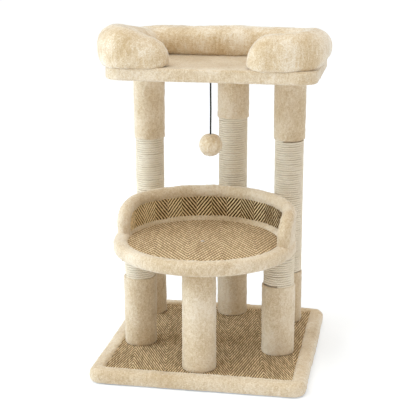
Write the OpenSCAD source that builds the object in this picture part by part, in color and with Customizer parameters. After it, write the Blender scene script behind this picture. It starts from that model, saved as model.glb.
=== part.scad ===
// Cat tree: plush base, six posts, round perch with a curved wall, and a top bed with a C bolster.
// Millimetres, +Z up, +Y to the back. Origin: centre of the base's underside.

/* [Base] */
// Width of the base over its plush, left to right
base_w = 500; // [460:1:540]
// Depth of the base over its plush, front to back
base_d = 514; // [470:1:560]
// Height of the plush border
base_h = 33; // [26:1:42]
// Corner radius of the base in plan
base_corner = 30; // [12:1:60]
// Height of the base mat's surface
mat_z = 29; // [22:1:36]
// Width of the plush border round the mat
border_w = 33; // [24:1:45]

/* [Posts] */
// Radius of the plush sleeves
sleeve_r = 38.5; // [32:0.5:45]
// Radius over the sisal rope
rope_r = 35.5; // [29:0.5:42]
// Outer radius of the inner tube
tube_r = 31.5; // [25:0.5:38]
// Inner radius of the inner tube
tube_in = 27.5; // [22:0.5:34]
// Height of the lower sleeves' tops on the tall posts
low_sleeve_z = 161; // [120:1:220]
// Height of the lower sleeves' tops on the left and right short posts
short_sleeve_z = 199; // [150:1:230]

/* [Perch] */
// Centre of the perch, left to right
perch_x = -12; // [-40:1:40]
// Centre of the perch, front to back
perch_y = -52; // [-80:1:0]
// Height of the perch's underside
perch_z = 272; // [240:1:320]
// Radius of the ring that the plush rim follows
rim_ring = 198; // [170:1:220]
// Radius of the plush rim's roll
rim_r = 17; // [12:0.5:24]
// Thickness of the perch board
perch_board_t = 15; // [9:1:18]

/* [Perch wall] */
// Angle where the wall starts, at the right
wall_from = -13; // [-30:1:20]
// Angle where the wall ends, at the left
wall_to = 170; // [150:1:200]
// Height of the wall's top roll centre
wall_roll_z = 364; // [340:1:400]
// Radius of the wall's top roll
wall_roll_r = 16; // [11:0.5:22]

/* [Top bed] */
// Width of the deck
deck_w = 494; // [440:1:540]
// Front edge of the deck
deck_front = -88; // [-130:1:-40]
// Back edge of the deck
deck_back = 243; // [240:1:280]
// Underside of the deck
deck_z = 674; // [600:1:740]
// Thickness of the deck over its plush
deck_t = 30; // [22:1:40]
// Radius of the stuffed bolster
bolster_r = 44; // [34:1:52]

/* [Toy] */
// Radius of the plush ball
ball_r = 27.5; // [18:0.5:34]
// Height of the ball's centre
ball_z = 515; // [480:1:560]
// Diameter of the toy's cord
cord_d = 2.6; // [1.5:0.1:4]

/* [Hidden] */
$fn = 96;
mat_t = 6;
skin = 3;
board_inset = 8;
tall = [[-195, 172.5, 492], [159.5, 172.5, 500], [14, 201, 545]];
short = [[-172, -45], [164, -50], [-2, -181.5]];
bolt_r = 4;
hole_r = 4.2;
washer_r = 11;
head_r = 7.5;
head_h = 5.5;
washer_t = 1.5;
sink_r = 12;
plug_h = 25;
plug_bolt = 20;
base_board_z = skin;
base_board_t = mat_z - mat_t - skin;
perch_board_z = perch_z + skin;
perch_mat_z = perch_board_z + perch_board_t;
perch_mat_t = 5;
perch_board_r = 200;
perch_mat_r = 180;
rim_z = perch_z + rim_r + 0.5;
wall_in = 187;
wall_out = 197;
panel_in = 184;
wall_skin = 212;
wall_foot_z = rim_z + rim_r;
wall_top_z = wall_roll_z - wall_roll_r;
end_roll_r = wall_roll_r + 1;
roll_lap = asin(end_roll_r / wall_in) + 0.4;
end_lap = asin(end_roll_r / wall_out) + 0.1;
wall_a0 = wall_from + roll_lap;
wall_a1 = wall_to - roll_lap;
deck_top = deck_z + deck_t;
deck_board_z = deck_z + skin + 1;
deck_board_t = 15;
foam_t = 8;
deck_in = 6;
side_x = 222;
bolster_back = 215;
bolster_front = -44;
bolster_z = deck_top + 38;
bend_r = 55;
tip_left = -136;
tip_right = 128;
toy_x = -8;
toy_y = 0;
crown_z = 669.5;
wire_r = 0.75;
crown_half = 6;
loop_z = 668.6;
loop_r = 3.5;
knot_z = 663.5;
knot_r = 3.2;
knot_half = 2.8;
cord_top = knot_z - knot_r - 0.3;
cord_end = ball_z + ball_r - 5;
// The cord hangs straight, with the slightest bow halfway down.
cord_route = [[toy_x, toy_y, cord_top], [toy_x, toy_y, 640], [toy_x + 0.4, toy_y, 600],
              [toy_x, toy_y, 560], [toy_x, toy_y, cord_end]];
cord_sides = 8;
cord_steps = 5;

// ---------- shared shapes ----------

module plan(x0, x1, y0, y1, r) {
    translate([x0 + r, y0]) square([x1 - x0 - 2 * r, y1 - y0]);
    translate([x0, y0 + r]) square([x1 - x0, y1 - y0 - 2 * r]);
    for (x = [x0 + r, x1 - r]) for (y = [y0 + r, y1 - r]) translate([x, y]) circle(r);
}

module slab(x0, x1, y0, y1, r, z0, z1) {
    translate([0, 0, z0]) linear_extrude(z1 - z0) plan(x0, x1, y0, y1, r);
}

module pipe(p, r_out, r_in, z0, z1) {
    translate([p[0], p[1], z0]) difference() {
        cylinder(r = r_out, h = z1 - z0);
        translate([0, 0, -1]) cylinder(r = r_in, h = z1 - z0 + 2);
    }
}

module rod(p, r, z0, z1) {
    translate([p[0], p[1], z0]) cylinder(r = r, h = z1 - z0);
}

// A hex-head bolt: up = 1 has its head at the bottom, up = -1 at the top.
module bolt(p, z, len, up) {
    translate([p[0], p[1], z]) mirror([0, 0, up > 0 ? 0 : 1]) {
        translate([0, 0, -head_h]) cylinder(r = head_r, h = head_h, $fn = 6);
        cylinder(r = bolt_r, h = len);
    }
}

module washer(p, z) {
    pipe(p, washer_r, bolt_r, z, z + washer_t);
}

// Part of a ring round the perch's centre, between two angles.
module arc(r0, r1, z0, z1, a0, a1) {
    translate([perch_x, perch_y, 0]) rotate([0, 0, a0])
        rotate_extrude(angle = a1 - a0) translate([r0, z0]) square([r1 - r0, z1 - z0]);
}

// A tube of one radius swept along a route, as one closed surface.
function lerp3(a, b, t) = a + (b - a) * t;
function fine(route, n) = concat([for (i = [0 : len(route) - 2]) for (k = [0 : n - 1])
    lerp3(route[i], route[i + 1], k / n)], [route[len(route) - 1]]);
module swept(route, r, sides) {
    rings = len(route);
    pts = [for (p = route) for (k = [0 : sides - 1])
        p + [r * cos(k * 360 / sides), r * sin(k * 360 / sides), 0]];
    walls = [for (i = [0 : rings - 2]) for (k = [0 : sides - 1])
        [i * sides + k, i * sides + (k + 1) % sides,
         (i + 1) * sides + (k + 1) % sides, (i + 1) * sides + k]];
    polyhedron(points = pts, faces = concat([[for (k = [sides - 1 : -1 : 0]) k]], walls,
        [[for (k = [0 : sides - 1]) (rings - 1) * sides + k]]), convexity = 4);
}

// ---------- base ----------

bx = base_w / 2;
by = base_d / 2;

module base_board() {
    color("BurlyWood") difference() {
        slab(-bx + board_inset, bx - board_inset, -by + board_inset, by - board_inset,
             base_corner - board_inset, base_board_z, base_board_z + base_board_t);
        for (p = concat(tall, short)) {
            rod(p, bolt_r, 0, mat_z);
            rod(p, sink_r, 0, base_board_z + 6);
        }
    }
}

module base_cover() {
    color("Wheat") difference() {
        slab(-bx, bx, -by, by, base_corner, 0, base_h);
        slab(-bx + board_inset, bx - board_inset, -by + board_inset, by - board_inset,
             base_corner - board_inset, base_board_z, base_board_z + base_board_t);
        slab(-bx + border_w, bx - border_w, -by + border_w, by - border_w, 6, base_board_z + 1, base_h + 1);
        for (p = concat(tall, short)) rod(p, sink_r, -1, base_board_z + 1);
        for (p = tall) rod(p, sleeve_r + 0.2, mat_z, base_h + 1);
    }
}

module base_mat() {
    color("Tan") difference() {
        slab(-bx + border_w, bx - border_w, -by + border_w, by - border_w, 6, mat_z - mat_t, mat_z);
        for (p = concat(tall, short)) rod(p, bolt_r, 0, mat_z + 1);
    }
}

module base_bolts() {
    color("Silver") for (p = concat(tall, short))
        bolt(p, base_board_z + 6 - washer_t, mat_z + plug_bolt - base_board_z - 6 + washer_t, 1);
}

module base_washers() {
    color("Silver") for (p = concat(tall, short)) washer(p, base_board_z + 6 - washer_t);
}

// ---------- posts ----------

module tube_tall(p) { color("Peru") pipe(p, tube_r, tube_in, mat_z, deck_z); }
module tube_short(p) { color("Peru") pipe(p, tube_r, tube_in, mat_z, perch_z); }
module tube_rear_left() { tube_tall(tall[0]); }
module tube_rear_right() { tube_tall(tall[1]); }
module tube_rear_centre() { tube_tall(tall[2]); }
module tube_short_left() { tube_short(short[0]); }
module tube_short_right() { tube_short(short[1]); }
module tube_short_front() { tube_short(short[2]); }

module rope(p, z0, z1) { color("Cornsilk") pipe(p, rope_r, tube_r, z0, z1); }
module rope_rear_left() { rope(tall[0], low_sleeve_z, tall[0][2]); }
module rope_rear_right() { rope(tall[1], low_sleeve_z, tall[1][2]); }
module rope_rear_centre() { rope(tall[2], low_sleeve_z, tall[2][2]); }
module rope_short_left() { rope(short[0], short_sleeve_z, perch_z); }
module rope_short_right() { rope(short[1], short_sleeve_z, perch_z); }

module sleeve(p, z0, z1) { color("Wheat") pipe(p, sleeve_r, tube_r, z0, z1); }
module sleeve_top_left() { sleeve(tall[0], tall[0][2], deck_z); }
module sleeve_top_right() { sleeve(tall[1], tall[1][2], deck_z); }
module sleeve_top_centre() { sleeve(tall[2], tall[2][2], deck_z); }
module sleeve_low_left() { sleeve(tall[0], mat_z, low_sleeve_z); }
module sleeve_low_right() { sleeve(tall[1], mat_z, low_sleeve_z); }
module sleeve_low_centre() { sleeve(tall[2], mat_z, low_sleeve_z); }
module sleeve_short_left() { sleeve(short[0], mat_z, short_sleeve_z); }
module sleeve_short_right() { sleeve(short[1], mat_z, short_sleeve_z); }
module sleeve_short_front() { sleeve(short[2], mat_z, perch_z); }

module plugs_lower() {
    color("DimGray") for (p = concat(tall, short)) difference() {
        rod(p, tube_in, mat_z, mat_z + plug_h);
        rod(p, bolt_r, mat_z - 1, mat_z + plug_bolt);
    }
}

module plug_at(p, z) {
    difference() {
        rod(p, tube_in, z - plug_h, z);
        rod(p, bolt_r, z - plug_bolt, z + 1);
    }
}

module plugs_upper() {
    color("DimGray") {
        for (p = tall) plug_at(p, deck_z);
        for (p = short) plug_at(p, perch_z);
    }
}

// ---------- perch ----------

wall_bolts = [15, 47, 79, 111, 143];
perch_at = [perch_x, perch_y];
screw_at = [perch_x - 4, perch_y - 10];

module perch_board() {
    color("BurlyWood") difference() {
        rod(perch_at, perch_board_r, perch_board_z, perch_mat_z);
        for (p = short) {
            rod(p, bolt_r, perch_z, perch_mat_z);
            rod(p, sink_r, perch_mat_z - 7, perch_mat_z + 1);
        }
        rod(screw_at, 2, perch_mat_z - 10, perch_mat_z + 1);
        for (a = wall_bolts) wall_screw_at(a, 0);
    }
}

module perch_cover() {
    color("Wheat") difference() {
        union() {
            translate([perch_x, perch_y, rim_z]) rotate_extrude() translate([rim_ring, 0]) circle(rim_r);
            rod(perch_at, rim_ring, perch_z, perch_board_z);
        }
        rod(perch_at, perch_board_r, perch_board_z, perch_mat_z);
        rod(perch_at, perch_mat_r, perch_mat_z - 1, perch_mat_z + perch_mat_t + 0.5);
        arc(wall_in, wall_out, perch_mat_z - 1, wall_foot_z + 5, wall_a0, wall_a1);
        for (p = short) rod(p, bolt_r, perch_z - 1, perch_board_z + 1);
    }
}

module perch_mat() {
    color("Tan") difference() {
        rod(perch_at, perch_mat_r, perch_mat_z, perch_mat_z + perch_mat_t);
        rod(screw_at, 2, perch_mat_z - 1, perch_mat_z + perch_mat_t + 1);
    }
}

module perch_bolts() {
    color("Silver") for (p = short)
        bolt(p, perch_mat_z - 7 + washer_t, perch_mat_z - 7 + washer_t - perch_z + plug_bolt, -1);
}

module perch_washers() {
    color("Silver") for (p = short) washer(p, perch_mat_z - 7);
}

module perch_screw() {
    color("Gray") {
        rod(screw_at, 2, perch_mat_z - 10, perch_mat_z + perch_mat_t);
        rod(screw_at, 5, perch_mat_z + perch_mat_t, perch_mat_z + perch_mat_t + 1.6);
    }
}

// A screw from under the perch board up into the wall board: grow = 0 is the screw itself.
module wall_screw_at(a, grow) {
    translate([perch_x, perch_y, 0]) rotate([0, 0, a]) translate([(wall_in + wall_out) / 2, 0, 0]) {
        translate([0, 0, perch_board_z]) cylinder(r = 4 + grow, h = 2.5);
        translate([0, 0, perch_board_z]) cylinder(r = 2 + grow, h = 45);
    }
}

module wall_screws() {
    color("Silver") for (a = wall_bolts) wall_screw_at(a, 0);
}

module wall_board() {
    color("BurlyWood") difference() {
        arc(wall_in, wall_out, perch_mat_z, wall_top_z, wall_a0, wall_a1);
        for (a = wall_bolts) wall_screw_at(a, 0);
    }
}

module wall_panel() {
    color("SaddleBrown") arc(panel_in, wall_in, wall_foot_z, wall_top_z + 3, wall_a0, wall_a1);
}

module wall_cover() {
    color("Wheat") arc(wall_out, wall_skin, wall_foot_z, wall_top_z, wall_a0, wall_a1);
}

// The roll along the wall's top, and one down each end to the perch's rim.
module wall_trim() {
    color("Wheat") {
        translate([perch_x, perch_y, wall_roll_z]) rotate([0, 0, wall_from + end_lap])
            rotate_extrude(angle = wall_to - wall_from - 2 * end_lap)
                translate([wall_out, 0]) circle(wall_roll_r);
        for (a = [wall_from, wall_to]) translate([perch_x, perch_y, wall_foot_z]) rotate([0, 0, a])
            translate([wall_out, 0, 0]) rotate_extrude() {
                square([end_roll_r, wall_roll_z - wall_foot_z]);
                translate([0, wall_roll_z - wall_foot_z]) intersection() {
                    circle(end_roll_r);
                    square(end_roll_r);
                }
            }
    }
}

// ---------- top bed ----------

dx = deck_w / 2;

module deck_board() {
    color("BurlyWood") difference() {
        slab(-dx + deck_in, dx - deck_in, deck_front + deck_in, deck_back - deck_in, 36,
             deck_board_z, deck_board_z + deck_board_t);
        for (p = tall) {
            rod(p, bolt_r, deck_z, deck_top);
            rod(p, sink_r, deck_board_z + deck_board_t - 7, deck_top);
        }
        staple_legs();
    }
}

module deck_foam() {
    color("WhiteSmoke")
        slab(-dx + deck_in, dx - deck_in, deck_front + deck_in, deck_back - deck_in, 36,
             deck_board_z + deck_board_t, deck_board_z + deck_board_t + foam_t);
}

module deck_cover() {
    color("Wheat") difference() {
        slab(-dx, dx, deck_front, deck_back, 42, deck_z, deck_top);
        slab(-dx + deck_in, dx - deck_in, deck_front + deck_in, deck_back - deck_in, 36,
             deck_board_z, deck_board_z + deck_board_t + foam_t);
        for (p = tall) rod(p, bolt_r, deck_z - 1, deck_board_z + 1);
        staple_legs();
    }
}

module deck_bolts() {
    color("Silver") for (p = tall)
        bolt(p, deck_board_z + deck_board_t - 7 + washer_t,
             deck_board_z + deck_board_t - 7 + washer_t - deck_z + plug_bolt, -1);
}

module deck_washers() {
    color("Silver") for (p = tall) washer(p, deck_board_z + deck_board_t - 7);
}

// One straight stretch of the bolster, its ends square.
module stretch(p, len, turn) {
    translate([p[0], p[1], 0]) rotate([0, 0, turn]) rotate([90, 0, 90]) cylinder(r = bolster_r, h = len);
}

// A quarter bend of the bolster round a centre.
module bend(c, from) {
    translate([c[0], c[1], 0]) rotate([0, 0, from])
        rotate_extrude(angle = 90) translate([bend_r, 0]) circle(bolster_r);
}

module bolster() {
    color("Wheat") intersection() {
        translate([0, 0, bolster_z]) {
            for (x = [tip_left, tip_right]) translate([x, bolster_front, 0]) sphere(bolster_r);
            stretch([-side_x + bend_r, bolster_front], tip_left + side_x - bend_r, 0);
            stretch([tip_right, bolster_front], side_x - bend_r - tip_right, 0);
            bend([-side_x + bend_r, bolster_front + bend_r], 180);
            bend([side_x - bend_r, bolster_front + bend_r], 270);
            for (s = [-1, 1]) stretch([s * side_x, bolster_front + bend_r],
                bolster_back - bolster_front - 2 * bend_r, 90);
            bend([-side_x + bend_r, bolster_back - bend_r], 90);
            bend([side_x - bend_r, bolster_back - bend_r], 0);
            stretch([-side_x + bend_r, bolster_back], 2 * (side_x - bend_r), 0);
        }
        translate([-400, -300, deck_top]) cube([800, 700, 200]);
    }
}

// ---------- toy ----------

module staple_legs() {
    for (s = [-1, 1]) translate([toy_x + s * crown_half, toy_y, crown_z])
        cylinder(r = wire_r, h = deck_z + 14 - crown_z);
}

module toy_staple() {
    color("Silver") {
        staple_legs();
        translate([toy_x - crown_half, toy_y, crown_z]) rotate([0, 90, 0])
            cylinder(r = wire_r, h = 2 * crown_half);
        for (s = [-1, 1]) translate([toy_x + s * crown_half, toy_y, crown_z]) sphere(wire_r);
    }
}

module toy_knot() {
    color("Black") {
        translate([toy_x, toy_y, loop_z]) rotate([0, 90, 0]) rotate_extrude()
            translate([loop_r, 0]) circle(cord_d / 2);
        translate([toy_x, toy_y, knot_z]) rotate([90, 0, 0]) cylinder(r = knot_r, h = 2 * knot_half, center = true);
    }
}

module toy_cord() {
    color("Black") swept(fine(cord_route, cord_steps), cord_d / 2, cord_sides);
}

module toy_ball() {
    color("Wheat") translate([toy_x, toy_y, ball_z]) sphere(ball_r);
}

base_board();
base_cover();
base_mat();
base_bolts();
base_washers();
tube_rear_left();
tube_rear_right();
tube_rear_centre();
tube_short_left();
tube_short_right();
tube_short_front();
rope_rear_left();
rope_rear_right();
rope_rear_centre();
rope_short_left();
rope_short_right();
sleeve_top_left();
sleeve_top_right();
sleeve_top_centre();
sleeve_low_left();
sleeve_low_right();
sleeve_low_centre();
sleeve_short_left();
sleeve_short_right();
sleeve_short_front();
plugs_lower();
plugs_upper();
perch_board();
perch_cover();
perch_mat();
perch_bolts();
perch_washers();
perch_screw();
wall_board();
wall_panel();
wall_cover();
wall_trim();
wall_screws();
deck_board();
deck_foam();
deck_cover();
deck_bolts();
deck_washers();
bolster();
toy_staple();
toy_knot();
toy_cord();
toy_ball();
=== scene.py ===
import math

import bmesh
import bpy
import numpy as np
from mathutils import Matrix, Vector


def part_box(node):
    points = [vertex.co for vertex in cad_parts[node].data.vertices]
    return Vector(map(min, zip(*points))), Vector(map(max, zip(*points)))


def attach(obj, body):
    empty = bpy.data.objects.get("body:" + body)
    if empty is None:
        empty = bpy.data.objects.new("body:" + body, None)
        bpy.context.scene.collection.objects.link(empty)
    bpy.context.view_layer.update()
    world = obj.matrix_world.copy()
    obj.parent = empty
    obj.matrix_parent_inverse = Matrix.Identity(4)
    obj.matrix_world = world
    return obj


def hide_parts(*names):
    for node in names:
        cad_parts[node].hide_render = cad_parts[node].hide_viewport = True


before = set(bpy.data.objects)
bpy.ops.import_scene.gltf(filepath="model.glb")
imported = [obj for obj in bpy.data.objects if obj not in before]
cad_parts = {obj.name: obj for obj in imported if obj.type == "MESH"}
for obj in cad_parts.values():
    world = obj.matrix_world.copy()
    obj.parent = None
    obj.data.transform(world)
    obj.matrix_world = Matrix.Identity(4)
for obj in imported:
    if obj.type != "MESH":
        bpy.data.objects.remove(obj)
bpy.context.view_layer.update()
MM = 0.001
TAU = 2 * math.pi


def box_mm(node):
    lo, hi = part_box(node)
    return np.array(lo) / MM, np.array(hi) / MM


def upright(node):
    """Centre x and y, radius, bottom and top of an upright round node, in mm."""
    lo, hi = box_mm(node)
    return (lo[0] + hi[0]) / 2, (lo[1] + hi[1]) / 2, (hi[0] - lo[0]) / 2, lo[2], hi[2]


def link(name, data):
    ob = bpy.data.objects.new(name, data)
    bpy.context.scene.collection.objects.link(ob)
    return ob


# ---------- camera ----------

cam_data = bpy.data.cameras.new("camera")
cam_data.lens = 98.69
cam_data.sensor_width = 36
cam_data.clip_start = 0.1
cam_data.clip_end = 200
cam = link("camera", cam_data)
cam.location = (0.45161, -2.58698, 1.07045)
cam.rotation_euler = (math.pi / 2 - 0.2638031, 0, 0.1781405)
bpy.context.scene.camera = cam

# ---------- noise and meshes ----------

TABLE_SIZE = 64
TABLES = {}


def table(seed):
    if seed not in TABLES:
        TABLES[seed] = np.random.default_rng(seed).uniform(-1, 1, (TABLE_SIZE,) * 3)
    return TABLES[seed]


def noise(points, size, seed):
    """Smooth value noise from -1 to 1 at points (mm), with cells of the given size, one number or three."""
    q = points / np.asarray(size, float) + 17.3 * (seed % 7) + 100
    i = np.floor(q).astype(np.int64)
    f = q - i
    u = f * f * (3 - 2 * f)
    t = table(seed)
    i %= TABLE_SIZE
    j = (i + 1) % TABLE_SIZE
    x0, y0, z0 = i.T
    x1, y1, z1 = j.T
    ux, uy, uz = u.T
    a = t[x0, y0, z0] * (1 - ux) + t[x1, y0, z0] * ux
    b = t[x0, y1, z0] * (1 - ux) + t[x1, y1, z0] * ux
    c = t[x0, y0, z1] * (1 - ux) + t[x1, y0, z1] * ux
    d = t[x0, y1, z1] * (1 - ux) + t[x1, y1, z1] * ux
    return (a * (1 - uy) + b * uy) * (1 - uz) + (c * (1 - uy) + d * uy) * uz


def smooth01(x):
    x = np.clip(x, 0, 1)
    return x * x * (3 - 2 * x)


def grid_faces(n, m, wrap_n=False, wrap_m=False, start=0):
    """Quads of an n by m grid of points numbered row by row from start."""
    i, j = np.meshgrid(np.arange(n - (not wrap_n)), np.arange(m - (not wrap_m)), indexing="ij")
    i2, j2 = (i + 1) % n, (j + 1) % m
    return start + np.stack([i * m + j, i * m + j2, i2 * m + j2, i2 * m + j], -1).reshape(-1, 4)


def edge_ring(n, m):
    """Indices round the edge of an n by m grid."""
    idx = np.arange(n * m).reshape(n, m)
    return np.concatenate([idx[0, :-1], idx[:-1, -1], idx[-1, :0:-1], idx[:0:-1, 0]])


def end_caps(n, m):
    """Triangles that close a tube of n rings of m points onto the two centre points that follow them."""
    i = np.arange(m)
    nxt = (i + 1) % m
    last = (n - 1) * m
    return np.concatenate([np.stack([np.full(m, n * m), nxt, i], -1),
                           np.stack([np.full(m, n * m + 1), last + i, last + nxt], -1)])


def volume(v, quads, tris):
    t = np.concatenate([quads[:, [0, 1, 2]], quads[:, [0, 2, 3]], tris])
    return np.einsum("ij,ij->i", v[t[:, 0]], np.cross(v[t[:, 1]], v[t[:, 2]])).sum() / 6


def make(name, v, quads=None, tris=None, closed=True):
    """A mesh object from points in mm and faces; a closed one is turned to face outwards."""
    v = np.asarray(v, float)
    quads = np.zeros((0, 4), int) if quads is None else np.asarray(quads)
    tris = np.zeros((0, 3), int) if tris is None else np.asarray(tris)
    if closed and volume(v, quads, tris) < 0:
        quads, tris = quads[:, ::-1], tris[:, ::-1]
    me = bpy.data.meshes.new(name)
    me.vertices.add(len(v))
    me.vertices.foreach_set("co", (v * MM).astype(np.float32).ravel())
    me.loops.add(quads.size + tris.size)
    me.loops.foreach_set("vertex_index", np.concatenate([quads.ravel(), tris.ravel()]).astype(np.int32))
    me.polygons.add(len(quads) + len(tris))
    starts = np.concatenate([np.arange(len(quads)) * 4, quads.size + np.arange(len(tris)) * 3])
    me.polygons.foreach_set("loop_start", starts.astype(np.int32))
    me.polygons.foreach_set("use_smooth", np.full(len(starts), True))
    me.update(calc_edges=True)
    me.validate()
    return link(name, me)


def two_sided(name, front, back, n, m):
    """A closed solid between two n by m grids of points."""
    ring = edge_ring(n, m)
    nxt = np.roll(ring, -1)
    side = np.stack([ring, nxt, nxt + n * m, ring + n * m], -1)[:, ::-1]
    faces = [grid_faces(n, m), grid_faces(n, m, start=n * m)[:, ::-1], side]
    return make(name, np.concatenate([front, back]), np.concatenate(faces))


def get_co(ob):
    co = np.empty(len(ob.data.vertices) * 3, np.float32)
    ob.data.vertices.foreach_get("co", co)
    return co.reshape(-1, 3).astype(float) / MM


def set_co(ob, co):
    ob.data.vertices.foreach_set("co", (co * MM).astype(np.float32).ravel())
    ob.data.update()


def get_normals(ob):
    n = np.empty(len(ob.data.vertices) * 3, np.float32)
    ob.data.vertex_normals.foreach_get("vector", n)
    return n.reshape(-1, 3).astype(float)


def shade(ob, smooth):
    ob.data.polygons.foreach_set("use_smooth", np.full(len(ob.data.polygons), smooth))
    ob.data.update()


def fluff(ob, layers, weight=1.0):
    """Moves the surface along its normals by layers of noise, each (cell size, height, seed), in mm."""
    co, n = get_co(ob), get_normals(ob)
    d = sum(height * noise(co, size, seed) for size, height, seed in layers)
    set_co(ob, co + n * (d * weight)[:, None])
    return ob


def add_attribute(ob, name, values):
    ob.data.attributes.new(name, "FLOAT", "POINT").data.foreach_set("value", np.asarray(values, np.float32))


def modify(ob, kind, **settings):
    """Adds one modifier, applies it and leaves a plain mesh."""
    m = ob.modifiers.new(kind, kind)
    for key, value in settings.items():
        setattr(m, key, value)
    dg = bpy.context.evaluated_depsgraph_get()
    me = bpy.data.meshes.new_from_object(ob.evaluated_get(dg), preserve_all_data_layers=True, depsgraph=dg)
    ob.modifiers.clear()
    old = ob.data
    ob.data = me
    me.name = ob.name
    bpy.data.meshes.remove(old)
    return ob


def cut_round(ob, centres, radius, z0, z1, segments, operation, solver):
    """Cuts a piece with upright cylinders at the given centres (mm)."""
    bm = bmesh.new()
    for x, y in centres:
        bmesh.ops.create_cone(bm, cap_ends=True, segments=segments, radius1=radius * MM, radius2=radius * MM,
                              depth=(z1 - z0) * MM, matrix=Matrix.Translation((x * MM, y * MM, (z0 + z1) / 2 * MM)))
    me = bpy.data.meshes.new("cutter")
    bm.to_mesh(me)
    bm.free()
    cutter = link("cutter", me)
    modify(ob, "BOOLEAN", object=cutter, operation=operation, solver=solver)
    bpy.data.objects.remove(cutter)
    bpy.data.meshes.remove(me)


def lathe(name, centre, profile, segments, shape):
    """A closed profile of (radius, z) turned about the vertical through centre. shape(radius, angle, z) bends it."""
    profile = np.asarray(profile, float)
    ang = np.arange(segments) / segments * TAU
    r, z = (np.repeat(profile[:, k][:, None], segments, 1) for k in (0, 1))
    a = np.repeat(ang[None], len(profile), 0)
    r, z = shape(r, a, z)
    v = np.stack([centre[0] + r * np.cos(a), centre[1] + r * np.sin(a), z], -1).reshape(-1, 3)
    return make(name, v, grid_faces(len(profile), segments, wrap_n=True, wrap_m=True))


def spaced(points, step):
    """Points along a polyline at about the given step, its corners kept."""
    points = np.asarray(points, float)
    out = []
    for p, q in zip(points[:-1], points[1:]):
        n = max(1, int(round(np.linalg.norm(q - p) / step)))
        out += [p + (q - p) * k / n for k in range(n)]
    return np.array(out + [points[-1]])


def sweep(a0, a1, n):
    """n angles in radians, from a0 to a1 in degrees."""
    return np.radians(np.linspace(a0, a1, n))


def arc_points(cx, cy, r, a0, a1, n):
    return [(cx + r * math.cos(t), cy + r * math.sin(t)) for t in sweep(a0, a1, n)]


# ---------- materials ----------

WEAVE_BUMP = 0.0005


def put(tree, socket, value):
    if isinstance(value, bpy.types.NodeSocket):
        tree.links.new(value, socket)
    else:
        socket.default_value = value


def add_node(tree, kind, **inputs):
    """A new shader node. Each input is a value or a socket to link, and its name has _ for spaces."""
    n = tree.nodes.new("ShaderNode" + kind)
    for key, value in inputs.items():
        put(tree, n.inputs[key.replace("_", " ")], value)
    return n


class Nodes:
    """A material's node tree, built with short calls."""

    def __init__(self, name, **sockets):
        self.material = bpy.data.materials.new(name)
        self.material.use_nodes = True
        self.tree = self.material.node_tree
        self.tree.nodes.clear()
        self.shader = self.add("BsdfPrincipled", **sockets)
        self.add("OutputMaterial", Surface=self.shader.outputs[0])
        self.coord = self.add("TexCoord").outputs["Object"]

    def add(self, kind, **inputs):
        return add_node(self.tree, kind, **inputs)

    def math(self, op, *values):
        n = self.add("Math")
        n.operation = op
        for socket, value in zip(n.inputs, values):
            put(self.tree, socket, value)
        return n.outputs[0]

    def mul(self, a, b):
        return self.math("MULTIPLY", a, b)

    def madd(self, a, b, c):
        """a times b, plus c."""
        return self.math("MULTIPLY_ADD", a, b, c)

    def attribute(self, name):
        n = self.add("Attribute")
        n.attribute_name = name
        return n.outputs["Fac"]

    def stretch(self, vector, scale, rotation=(0, 0, 0)):
        return self.add("Mapping", Vector=vector, Scale=scale, Rotation=rotation).outputs[0]

    def noise(self, scale, detail, roughness, vector=None):
        n = self.add("TexNoise", Scale=scale, Detail=detail, Roughness=roughness, Vector=vector or self.coord)
        return n.outputs["Fac"]

    def cells(self, scale, vector=None, output="Distance"):
        return self.add("TexVoronoi", Scale=scale, Vector=vector or self.coord).outputs[output]

    def ramp(self, fac, stops):
        n = self.add("ValToRGB", Fac=fac)
        el = n.color_ramp.elements
        while len(el) < len(stops):
            el.new(0.5)
        for e, (pos, col) in zip(el, stops):
            e.position, e.color = pos, (*col, 1)
        return n.outputs[0]

    def combine(self, x, y, z):
        return self.add("CombineXYZ", X=x, Y=y, Z=z).outputs[0]

    def split(self, vector):
        return self.add("SeparateXYZ", Vector=vector).outputs

    def vary(self, f, value, middle, weight):
        """f plus weight times the distance of value from its middle."""
        return self.madd(self.math("SUBTRACT", value, middle), weight, f)

    def stitches(self, rows, run, length):
        """The crown of each stitch along a rib, from 0 to 1, and one random value for each stitch."""
        steps = self.math("ADD", self.math("DIVIDE", run, length), self.mul(rows, 0.5))
        knot = self.math("ABSOLUTE", self.math("SINE", self.mul(steps, math.pi)))
        speck = self.add("TexWhiteNoise")
        speck.noise_dimensions = "2D"
        put(self.tree, speck.inputs["Vector"], self.combine(rows, self.math("FLOOR", steps), 0.0))
        return knot, speck.outputs["Value"]

    def finish(self, f, stops, rough, bump):
        """Colours by f. rough is (factor, low, high) and bump is (height, distance, strength)."""
        (factor, low, high), (height, distance, strength) = rough, bump
        for name, socket in (
                ("Base Color", self.ramp(f, stops)),
                ("Roughness", self.add("MapRange", Value=factor, To_Min=low, To_Max=high).outputs[0]),
                ("Normal", self.add("Bump", Height=height, Distance=distance, Strength=strength).outputs[0])):
            put(self.tree, self.shader.inputs[name], socket)
        return self.material


def plush_material(name, shades, patch, tuft, tuft_scale, streaks, sheen):
    """Pile: broad patches where it lies another way, tufts stretched along it and fine grain."""
    m = Nodes(name, Roughness=0.95, Specular_IOR_Level=0.1, Sheen_Weight=sheen, Sheen_Roughness=0.45,
              Sheen_Tint=(1.0, 0.99, 0.96, 1))
    patches = m.noise(patch, 3, 0.55)
    tufts = m.noise(tuft_scale, 3, 0.6, m.stretch(m.coord, tuft))
    grain = m.noise(390, 2, 0.7)
    f = m.madd(tufts, streaks, m.mul(patches, 0.60 - streaks))
    f = m.madd(grain, 0.40, f)
    stops = list(zip((0.415, 0.50, 0.585), shades))
    return m.finish(f, stops, (grain, 0.88, 1.0), (m.madd(grain, 0.6, tufts), 0.0016, 0.9))


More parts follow.
